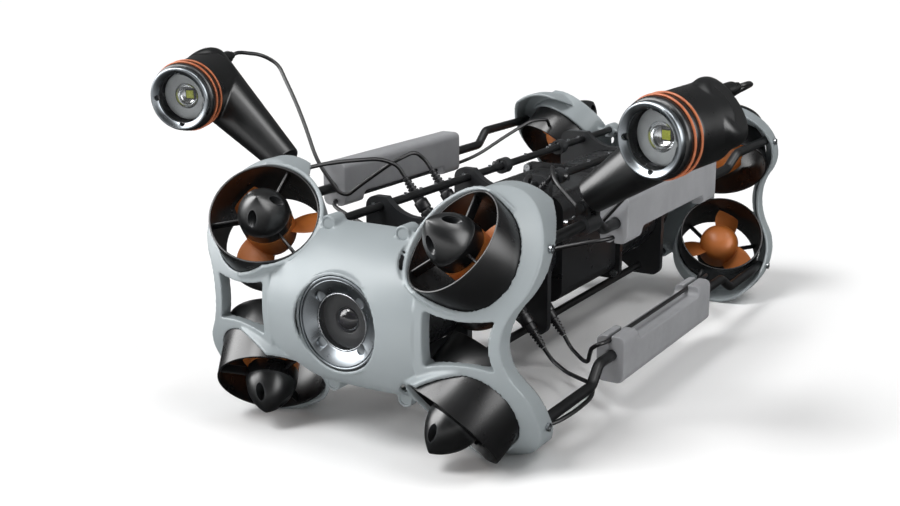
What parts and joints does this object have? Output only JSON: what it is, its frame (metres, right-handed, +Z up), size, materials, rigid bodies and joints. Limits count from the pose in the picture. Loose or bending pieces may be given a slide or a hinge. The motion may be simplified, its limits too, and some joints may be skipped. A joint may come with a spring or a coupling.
{
  "type": "underwater inspection vehicle",
  "caption": "Remotely operated underwater inspection vehicle with tilted ducted thrusters in moulded end frames, a nose camera, side float blocks and work lights on arms.",
  "frame": {"origin": "centre of the underside, level with the lowest points of the end frames, halfway along the length", "axes": "+X to port, +Y aft (the camera looks along -Y), +Z up"},
  "size_m": [0.4396, 0.5304, 0.2432],
  "materials": {
    "box_black": "satin",
    "connector_black": "moulded",
    "bezel_grey": "grey anodised",
    "camera_black": "matt",
    "hull_black": "black anodised",
    "lens_glass": "coated",
    "window_glass": "polished",
    "screw_steel": "bright",
    "board_green": "board",
    "duct_black": "satin black, moulded",
    "float_grey": "satin moulded",
    "frame_grey": "satin moulded",
    "tube_black": "black anodised",
    "clamp_black": "black anodised",
    "light_bezel": "grey anodised",
    "cable_black": "matt",
    "emitter_yellow": "phosphor",
    "light_black": "black anodised",
    "light_glass": "polished",
    "reflector_silver": "bright",
    "ring_orange": "moulded",
    "stator_steel": "machined",
    "propeller_orange": "satin orange, moulded",
    "bar_black": "black anodised",
    "plug_grey": "moulded",
    "nose_black": "satin black, moulded"
  },
  "bodies": {
    "hull": {"battery_box": "box_black", "battery_flange": "box_black", "cable_connectors": "connector_black", "camera_bezel": "bezel_grey", "camera_body": "camera_black", "camera_housing": "hull_black", "camera_lens": "lens_glass", "camera_window": "window_glass", "clamp_bolts": "screw_steel", "control_board": "board_green", "drum_cap": "hull_black", "duct_front_port_lower": "duct_black", "duct_front_port_upper": "duct_black", "duct_front_stbd_lower": "duct_black", "duct_front_stbd_upper": "duct_black", "duct_rear_port_lower": "duct_black", "duct_rear_port_upper": "duct_black", "duct_rear_stbd_lower": "duct_black", "duct_rear_stbd_upper": "duct_black", "flange_bolts": "screw_steel", "float_blocks_port": "float_grey", "float_blocks_stbd": "float_grey", "frame_screws": "screw_steel", "front_frame": "frame_grey", "hull_brackets": "box_black", "inner_tubes": "tube_black", "light_clamps": "clamp_black", "light_port_cable": "cable_black", "light_stbd_cable": "cable_black", "motor_stators": "stator_steel", "rear_drum": "hull_black", "rear_frame": "frame_grey", "side_bars": "bar_black", "socket_plugs": "plug_grey", "tail_plate": "hull_black", "tether_gland": "connector_black", "thruster_cables": "cable_black", "thruster_noses": "nose_black", "tube_clamps": "connector_black", "tube_screws": "screw_steel"},
    "propeller_front_port_upper": {"propeller_front_port_upper": "propeller_orange"},
    "propeller_front_port_lower": {"propeller_front_port_lower": "propeller_orange"},
    "propeller_front_stbd_upper": {"propeller_front_stbd_upper": "propeller_orange"},
    "propeller_front_stbd_lower": {"propeller_front_stbd_lower": "propeller_orange"},
    "propeller_rear_port_upper": {"propeller_rear_port_upper": "propeller_orange"},
    "propeller_rear_port_lower": {"propeller_rear_port_lower": "propeller_orange"},
    "propeller_rear_stbd_upper": {"propeller_rear_stbd_upper": "propeller_orange"},
    "propeller_rear_stbd_lower": {"propeller_rear_stbd_lower": "propeller_orange"},
    "light_port": {"light_port_bezel": "light_bezel", "light_port_emitter": "emitter_yellow", "light_port_head": "light_black", "light_port_lens": "light_glass", "light_port_reflector": "reflector_silver", "light_port_rings": "ring_orange"},
    "light_stbd": {"light_stbd_bezel": "light_bezel", "light_stbd_emitter": "emitter_yellow", "light_stbd_head": "light_black", "light_stbd_lens": "light_glass", "light_stbd_reflector": "reflector_silver", "light_stbd_rings": "ring_orange"}
  },
  "joints": [
    {"name": "spin_front_port_upper", "type": "hinge", "parent": "hull", "child": "propeller_front_port_upper", "pos_m": [0.08207, -0.21791, 0.12858], "axis": [-0.3322, -0.6797, 0.6539], "continuous": true},
    {"name": "spin_front_port_lower", "type": "hinge", "parent": "hull", "child": "propeller_front_port_lower", "pos_m": [0.08207, -0.21791, 0.04842], "axis": [-0.3322, -0.6797, -0.6539], "continuous": true},
    {"name": "spin_front_stbd_upper", "type": "hinge", "parent": "hull", "child": "propeller_front_stbd_upper", "pos_m": [-0.08207, -0.21791, 0.12858], "axis": [0.3322, -0.6797, 0.6539], "continuous": true},
    {"name": "spin_front_stbd_lower", "type": "hinge", "parent": "hull", "child": "propeller_front_stbd_lower", "pos_m": [-0.08207, -0.21791, 0.04842], "axis": [0.3322, -0.6797, -0.6539], "continuous": true},
    {"name": "spin_rear_port_upper", "type": "hinge", "parent": "hull", "child": "propeller_rear_port_upper", "pos_m": [0.08207, 0.21791, 0.12858], "axis": [-0.3322, 0.6797, 0.6539], "continuous": true},
    {"name": "spin_rear_port_lower", "type": "hinge", "parent": "hull", "child": "propeller_rear_port_lower", "pos_m": [0.08207, 0.21791, 0.04842], "axis": [-0.3322, 0.6797, -0.6539], "continuous": true},
    {"name": "spin_rear_stbd_upper", "type": "hinge", "parent": "hull", "child": "propeller_rear_stbd_upper", "pos_m": [-0.08207, 0.21791, 0.12858], "axis": [0.3322, 0.6797, 0.6539], "continuous": true},
    {"name": "spin_rear_stbd_lower", "type": "hinge", "parent": "hull", "child": "propeller_rear_stbd_lower", "pos_m": [-0.08207, 0.21791, 0.04842], "axis": [0.3322, 0.6797, -0.6539], "continuous": true},
    {"name": "tilt_light_port", "type": "hinge", "parent": "hull", "child": "light_port", "pos_m": [0.1203, -0.151, 0.1575], "axis": [0, 1, 0], "range_deg": [-25, 15], "deforming": ["light_port_cable"]},
    {"name": "tilt_light_stbd", "type": "hinge", "parent": "hull", "child": "light_stbd", "pos_m": [-0.1203, -0.151, 0.1575], "axis": [0, -1, 0], "range_deg": [-25, 15], "deforming": ["light_stbd_cable"]}
  ]
}
